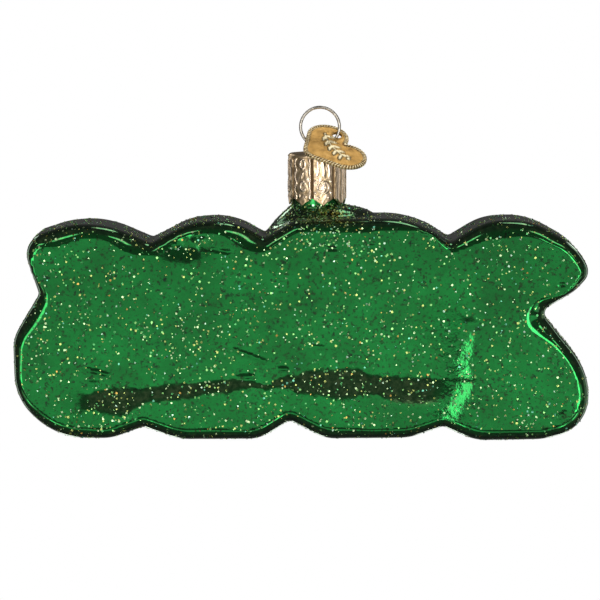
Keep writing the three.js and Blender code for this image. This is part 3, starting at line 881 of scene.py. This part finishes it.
# Hanger: bright spring wire bent into a round loop over the cap. Its two legs go through the
# cap's holes and spread inside the neck, which holds the cap on.
wire_radius = 0.35
loop_radius = 4.3
loop_centre = -3.95
loop_bend = 1.0
leg_spacing = 2.6
leg_length = 12.0
leg_straight = 2.0
leg_end_x = neck_bore - 0.3 - wire_radius


def arc(cx, cz, radius, start, end, count):
    """Points along an arc round a centre."""
    turns = np.linspace(start, end, count)
    return np.stack([cx + radius * np.cos(turns), cz + radius * np.sin(turns)], axis=1)


def leg(side):
    """A leg from its sprung end up to the cap's top."""
    part = np.linspace(0, 1, 24)
    straight = neck_x + side * leg_spacing / 2
    end = neck_x + side * leg_end_x
    x = end + (straight - end) * soft_step(0, 1, part)
    z = cap_top - leg_length + part * (leg_length - leg_straight)
    return np.stack([x, z], axis=1)


def wire_path():
    """The wire's middle line: up one leg, round the loop and down the other leg."""
    bends = []
    for side in (-1, 1):
        x = neck_x + side * (leg_spacing / 2 + loop_bend)
        bends.append((x, loop_centre - math.sqrt((loop_radius + loop_bend) ** 2 - x ** 2)))
    left, right = bends
    left_turn = math.atan2(left[1] - loop_centre, left[0]) + 2 * math.pi
    right_turn = math.atan2(right[1] - loop_centre, right[0])
    return np.concatenate([
        leg(-1),
        arc(*left, loop_bend, 0, left_turn - math.pi, 16),
        arc(0, loop_centre, loop_radius, left_turn, right_turn, 150)[1:-1],
        arc(*right, loop_bend, right_turn + math.pi, math.pi, 16),
        leg(1)[::-1],
    ])


def swept_wire(path, radius, sides):
    """A round wire along a path in the XZ plane, with domed ends."""
    way = np.gradient(path, axis=0)
    way /= np.hypot(*way.T)[:, None]
    rings = [(point, along, radius) for point, along in zip(path, way)]
    for place, sign in ((0, -1), (-1, 1)):
        domes = []
        for turn in np.radians((20, 40, 60, 80)):
            domes.append((
                path[place] + sign * way[place] * radius * 0.7 * math.sin(turn),
                way[place], radius * math.cos(turn),
            ))
        rings = domes[::-1] + rings if sign < 0 else rings + domes
    turns = 2 * math.pi * np.arange(sides) / sides
    points = np.concatenate([
        np.stack([
            point[0] - along[1] * r * np.cos(turns),
            r * np.sin(turns),
            point[1] + along[0] * r * np.cos(turns),
        ], axis=1)
        for point, along, r in rings
    ])
    faces = []
    for level in range(len(rings) - 1):
        for i in range(sides):
            here, after = level * sides + i, level * sides + (i + 1) % sides
            faces.append((here, after, after + sides, here + sides))
    last = (len(rings) - 1) * sides
    faces.append(tuple(range(sides - 1, -1, -1)))
    faces.append(tuple(last + k for k in range(sides)))
    return points, faces


drawn, shader, link, add = new_material("bright_drawn_wire", 1.0, 0.0, 0.03)
place = add("ShaderNodeTexCoord").outputs["Object"]
drawing = add("ShaderNodeTexNoise", {"Vector": place}, Scale=1500.0, Detail=3.0)
link.new(
    ramp(add, drawing.outputs["Fac"], [(0.3, (0.40, 0.37, 0.31)), (0.7, (0.66, 0.62, 0.55))]),
    shader.inputs["Base Color"],
)
wire_shine = add("ShaderNodeMapRange", {"Value": drawing.outputs["Fac"]}, **{"To Min": 0.14, "To Max": 0.34})
link.new(wire_shine.outputs["Result"], shader.inputs["Roughness"])
wire_points, wire_faces = swept_wire(wire_path(), wire_radius, 20)
wire = add_piece("wire_loop", wire_points, wire_faces, [drawn])
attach(wire, "hanger")
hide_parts("hanger_wire")

# Heart tag: stamped from thin brass with a corded border, a leafy sprig raised in the middle and
# a hole near one lobe, threaded on the wire loop.
tag_half_thickness = 0.25
tag_lobe_radius = 4.66
tag_lobe_offset = 3.97
tag_tip_radius = 3.58
tag_tip_drop = 4.48
tag_border = 0.9
tag_border_rise = 0.07
tag_sprig_rise = 0.15
tag_cord_pitch = 0.68
tag_hole_radius = 1.0
tag_hole = (-3.7, 2.2)
tag_cell = 0.085
sprig_leaves = (-4.4, -2.5, -0.6, 1.3, 3.2)
leaf_slant = math.radians(42)
place_on_loop = math.radians(-29.5)
tag_roll = math.radians(-55.5)
tag_lean = 0.5231
tag_yaw = math.radians(9.4)
tag_pivot = (
    loop_radius * math.cos(place_on_loop), 0.0, loop_centre + loop_radius * math.sin(place_on_loop),
)
tag_turn = Euler((0, 0, tag_roll)).to_matrix()
tag_turn = Euler((tag_lean, 0, 0)).to_matrix() @ tag_turn
tag_turn = np.array(Euler((0, tag_yaw, 0)).to_matrix() @ tag_turn)


def heart_outline():
    """Points round a heart with two round lobes and a round tip."""
    reach = math.hypot(tag_lobe_offset, tag_tip_drop)
    spread = math.acos((tag_lobe_radius - tag_tip_radius) / reach)
    flank = math.atan2(-tag_tip_drop, -tag_lobe_offset) + spread
    notch = math.acos(-tag_lobe_offset / tag_lobe_radius)
    return np.concatenate([
        arc(tag_lobe_offset, 0, tag_lobe_radius, notch, flank, 60),
        arc(0, -tag_tip_drop, tag_tip_radius, flank, -math.pi - flank, 30),
        arc(-tag_lobe_offset, 0, tag_lobe_radius, math.pi - flank, math.pi - notch, 60)[:-1],
    ])


def stroke(away, half):
    """A raised line with a flat top, from the distance to its middle."""
    return 1 - soft_step(half - 0.12, half + 0.12, abs(away))


def sprig_height(x, y):
    """The raised sprig: a bowed stem with pairs of slim leaves and a berry at its tip."""
    stem = y + 1.2 - 0.04 * x ** 2
    height = stroke(stem, 0.26) * soft_step(-5.6, -5.2, x) * (1 - soft_step(4.2, 4.6, x))
    for leaf_x in sprig_leaves:
        for side in (-1, 1):
            slant = leaf_slant * side
            u, v = x - leaf_x, y + 1.2 - 0.04 * leaf_x ** 2
            u, v = u * math.cos(slant) + v * math.sin(slant) - 1.15, v * math.cos(slant) - u * math.sin(slant)
            wide = 0.46 * (1 - (u / 1.2) ** 2)
            height = np.maximum(height, soft_step(-0.1, 0.1, wide - abs(v)))
    return np.maximum(height, stroke(np.hypot(x - 5.2, y + 0.1), 0.5))


heart = heart_outline()
tag_step = 0.12
tag_low = heart.min(axis=0) - 1
tag_counts = np.ceil((heart.max(axis=0) + 1 - tag_low) / tag_step).astype(int)
tag_x, tag_y = np.meshgrid(
    tag_low[0] + tag_step * np.arange(tag_counts[0]),
    tag_low[1] + tag_step * np.arange(tag_counts[1]),
    indexing="ij",
)
tag_depth, tag_run = outline_depth(heart, tag_x, tag_y)
tag_lap = np.hypot(*(np.roll(heart, -1, axis=0) - heart).T).sum()
tag_cords = round(tag_lap / tag_cord_pitch)
cord_turn = 2 * math.pi * (tag_run * tag_cords / tag_lap + 0.55 * tag_depth)
border = (1 - soft_step(tag_border - 0.12, tag_border + 0.12, tag_depth)) * (tag_depth > -0.5)
cord = soft_step(-0.8, 0.2, np.cos(cord_turn))
sprig = sprig_height(tag_x, tag_y)
tag_rise = border * tag_border_rise * (0.1 + 0.9 * cord) + (1 - border) * tag_sprig_rise * sprig
# The colour follows the relief: painted highlight on the raised cords and sprig, painted shade in the valleys
# between the cords
tag_painted_light = border * (1.4 * cord - 0.4) + (1 - border) * sprig
to_hole = np.hypot(tag_x - tag_hole[0], tag_y - tag_hole[1])
tag_rise = tag_rise * (1 - soft_step(-0.5, 0, tag_hole_radius + 0.4 - to_hole)) + 0.05 * ridge(
    to_hole - tag_hole_radius - 0.25, 0.18)


def tag_field(x, y, z):
    """Below 0 inside the stamped plate, in the heart's own axes."""
    depth = spline_read(tag_depth, tag_low, tag_step, x, y)
    rise = spline_read(tag_rise, tag_low, tag_step, x, y)
    hole = tag_hole_radius - np.hypot(x - tag_hole[0], y - tag_hole[1])
    edge = np.maximum(-depth, hole)
    top = z - tag_half_thickness - rise
    under = -z - tag_half_thickness - 0.4 * rise
    return -soft_least(-edge, -np.maximum(top, under), 0.12)


stamped, shader, link, add = new_material("stamped_brass", 1.0, 0.0, 0.03)
place = add("ShaderNodeTexCoord").outputs["Object"]
mottle = add("ShaderNodeTexNoise", {"Vector": place}, Scale=500.0, Detail=3.0, Roughness=0.6)
raised = add("ShaderNodeAttribute", attribute_name="painted_relief_light").outputs["Fac"]
# Painted highlight on the raised cords and sprig and painted shade between the cords, with a random mottle
tag_relief_light = add("ShaderNodeMath", operation="MULTIPLY_ADD")
link.new(mottle.outputs["Fac"], tag_relief_light.inputs[0])
tag_relief_light.inputs[1].default_value = 0.3
link.new(raised, tag_relief_light.inputs[2])
link.new(
    ramp(add, tag_relief_light.outputs["Value"], [
        (0.0, (0.22, 0.12, 0.04)),
        (0.15, (0.58, 0.34, 0.095)),
        (0.55, (0.93, 0.67, 0.29)),
        (1.0, (1.0, 0.87, 0.55)),
    ]),
    shader.inputs["Base Color"],
)
tag_shine = add("ShaderNodeMapRange", {"Value": mottle.outputs["Fac"]}, **{"To Min": 0.5, "To Max": 0.32})
link.new(tag_shine.outputs["Result"], shader.inputs["Roughness"])
satin = add("ShaderNodeTexNoise", {"Vector": place}, Scale=3200.0, Detail=3.0)
relief = add("ShaderNodeBump", {"Height": satin.outputs["Fac"]}, Strength=0.25, Distance=0.0001)
link.new(relief.outputs["Normal"], shader.inputs["Normal"])

tag_points, tag_quads = surface_net(
    tag_field, (*(heart.min(axis=0) - 0.3), -0.66), (*(heart.max(axis=0) + 0.3), 0.66), tag_cell,
)
tag_points, tag_normals = settle(tag_field, tag_points, tag_quads, 2, 0.01)
tag_painted_lights = spline_read(tag_painted_light, tag_low, tag_step, tag_points[:, 0], tag_points[:, 1])
tag_points = (tag_points - (*tag_hole, 0)) @ tag_turn.T + tag_pivot
tag = add_piece("stamped_heart_tag", tag_points, tag_quads.tolist(), [stamped], tag_normals @ tag_turn.T)
tag.data.attributes.new("painted_relief_light", "FLOAT", "POINT").data.foreach_set("value", tag_painted_lights)
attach(tag, "tag")
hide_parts("heart_tag")

# Studio: a long lens slightly above the ornament, a white floor and backdrop, a wide soft panel
# behind the camera, strip lights above and at both sides, and dark cloth between them.
camera_elevation = math.radians(6)
camera_distance = 0.738
camera_target = Vector((-0.00443, 0.0, -0.0425))
scene = bpy.context.scene
lens = bpy.data.cameras.new("studio_camera")
lens.lens = 199.0
lens.sensor_width = 36.0
lens.dof.use_dof = False
camera = bpy.data.objects.new("studio_camera", lens)
scene.collection.objects.link(camera)
to_camera = Vector((0, -math.cos(camera_elevation), math.sin(camera_elevation)))
camera.location = camera_target + camera_distance * to_camera
camera.rotation_euler = (-to_camera).to_track_quat("-Z", "Y").to_euler()
scene.camera = camera
scene.view_settings.view_transform = "Standard"

# Lights as seen from the ornament: turn from the camera's side and height over the horizon, both
# in degrees, then how bright, and how soft the edge is
studio_lights = (
    ((-58, 58), (-11, 0), 0.57, 0.8),
    ((-58, 58), (-11, -6.6), 0.14, 1.4),
    ((-29, -12.5), (-12, 14), 3.6, 3.0),
    ((11.5, 23), (-14, 14), 5.4, 1.5),
    ((-70, 70), (-38, -22), 0.7, 1.5),
    ((-50, -20), (40, 48), 4.0, 2.0),
    ((20, 50), (40, 48), 4.0, 2.0),
    ((92, 124), (-25, 12), 0.5, 8.0),
    ((131, 140), (-35, 35), 1.5, 2.0),
    ((-140, -131), (-35, 35), 1.5, 2.0),
)

# Small bare lamps, which the glitter picks up: turn, height over the horizon, brightness and reach
bare_lamps = (
    (-42, 25, 4.5, 4.0), (44, 27, 4.5, 4.0), (-16, -31, 4.5, 3.5), (19, -32, 4.5, 3.5),
    (-40, -30, 4.5, 4.0), (41, -29, 4.5, 4.0), (158, 64, 3.9, 8.0),
    (150, 20, 4.5, 4.0), (-152, 24, 4.5, 4.0), (165, -32, 4.5, 4.0), (-168, -34, 4.5, 4.0),
)

# The room's own dim light on the camera's side and behind the ornament, and a low panel behind it
# with its turn to either side, height over the horizon and brightness
room_glow = (0.15, 0.06)
rear_panel = ((157, 200), (-30, -4), 0.5)
lamp_colour = (1.0, 0.985, 0.965, 1.0)
world = bpy.data.worlds.new("studio")
scene.world = world
world.use_nodes = True
tree = world.node_tree
tree.nodes.clear()


def world_node(kind, *values, **settings):
    """A node of the studio's light, with numbers or sockets in its inputs in turn."""
    node = tree.nodes.new(kind)
    for key, value in settings.items():
        setattr(node, key, value)
    for socket, value in zip(node.inputs, values):
        if isinstance(value, bpy.types.NodeSocket):
            tree.links.new(value, socket)
        elif value is not None:
            socket.default_value = value
    return node.outputs[0] if node.outputs else None


def window(value, low, high, soft):
    """1 between two bounds and 0 outside them."""
    edges = [
        world_node(
            "ShaderNodeMapRange", value, edge - soft, edge + soft, before, after,
            interpolation_type="SMOOTHSTEP",
        )
        for edge, before, after in ((low, 0.0, 1.0), (high, 1.0, 0.0))
    ]
    return world_node("ShaderNodeMath", *edges, operation="MULTIPLY")


direction = world_node("ShaderNodeTexCoord")
split = tree.nodes.new("ShaderNodeSeparateXYZ")
tree.links.new(direction, split.inputs[0])
toward_camera = world_node("ShaderNodeMath", split.outputs["Y"], -1.0, operation="MULTIPLY")
turn = world_node("ShaderNodeMath", split.outputs["X"], toward_camera, operation="ARCTAN2")
turn = world_node("ShaderNodeMath", turn, 180 / math.pi, operation="MULTIPLY")
height = world_node("ShaderNodeMath", split.outputs["Z"], operation="ARCSINE")
height = world_node("ShaderNodeMath", height, 180 / math.pi, operation="MULTIPLY")
behind = world_node("ShaderNodeMath", turn, operation="ABSOLUTE")
light = world_node("ShaderNodeMapRange", behind, 70.0, 120.0, *room_glow)
for turns, heights, strength, soft in studio_lights:
    across = window(turn, *turns, soft)
    upright = window(height, *heights, soft)
    shape = world_node("ShaderNodeMath", across, upright, operation="MULTIPLY")
    lit = world_node("ShaderNodeMath", shape, strength, operation="MULTIPLY")
    light = world_node("ShaderNodeMath", light, lit, operation="ADD")
for lamp_turn, lamp_height, strength, reach in bare_lamps:
    turned, raised = math.radians(lamp_turn), math.radians(lamp_height)
    aim = (math.sin(turned) * math.cos(raised), -math.cos(turned) * math.cos(raised), math.sin(raised))
    lamp = tree.nodes.new("ShaderNodeVectorMath")
    lamp.operation = "DOT_PRODUCT"
    tree.links.new(direction, lamp.inputs[0])
    lamp.inputs[1].default_value = aim
    inner, outer = (math.cos(math.radians(reach * part)) for part in (0.8, 1.2))
    lit = world_node("ShaderNodeMapRange", lamp.outputs["Value"], outer, inner, 0.0, strength)
    light = world_node("ShaderNodeMath", light, lit, operation="ADD")
rear_turns, rear_heights, rear_strength = rear_panel
rear = world_node(
    "ShaderNodeMath", window(behind, *rear_turns, 3.0), window(height, *rear_heights, 1.5),
    operation="MULTIPLY",
)
rear = world_node("ShaderNodeMath", rear, rear_strength, operation="MULTIPLY")
light = world_node("ShaderNodeMath", light, rear, operation="ADD")
room = world_node("ShaderNodeBackground", lamp_colour, light)
white = world_node("ShaderNodeBackground", (1.0, 1.0, 1.0, 1.0), 1.0)
seen = tree.nodes.new("ShaderNodeLightPath").outputs["Is Camera Ray"]
world_node("ShaderNodeOutputWorld", world_node("ShaderNodeMixShader", seen, room, white))

# Floor: a sheet of white paper under the ornament, which isn't part of it. Only the camera sees it,
# so the mirroring glass shows the studio's lights, and from below it is clear.
floor_drop = 0.095
floor_half_width = 0.6
floor_corners = [
    (x * floor_half_width, y * floor_half_width, 0) for x, y in ((-1, -1), (1, -1), (1, 1), (-1, 1))
]
floor_mesh = bpy.data.meshes.new("floor")
floor_mesh.from_pydata(floor_corners, [], [(0, 1, 2, 3)])
paper = bpy.data.materials.new("white_paper")
paper.use_nodes = True
tree = paper.node_tree
tree.nodes.clear()
lit_paper = tree.nodes.new("ShaderNodeEmission")
clear = tree.nodes.new("ShaderNodeBsdfTransparent")
either = tree.nodes.new("ShaderNodeMixShader")
tree.links.new(tree.nodes.new("ShaderNodeNewGeometry").outputs["Backfacing"], either.inputs["Fac"])
tree.links.new(lit_paper.outputs["Emission"], either.inputs[1])
tree.links.new(clear.outputs["BSDF"], either.inputs[2])
tree.links.new(either.outputs["Shader"], tree.nodes.new("ShaderNodeOutputMaterial").inputs["Surface"])
floor_mesh.materials.append(paper)
floor = bpy.data.objects.new("floor", floor_mesh)
floor.location.z = -floor_drop
floor.visible_glossy = floor.visible_diffuse = floor.visible_shadow = floor.visible_transmission = False
scene.collection.objects.link(floor)
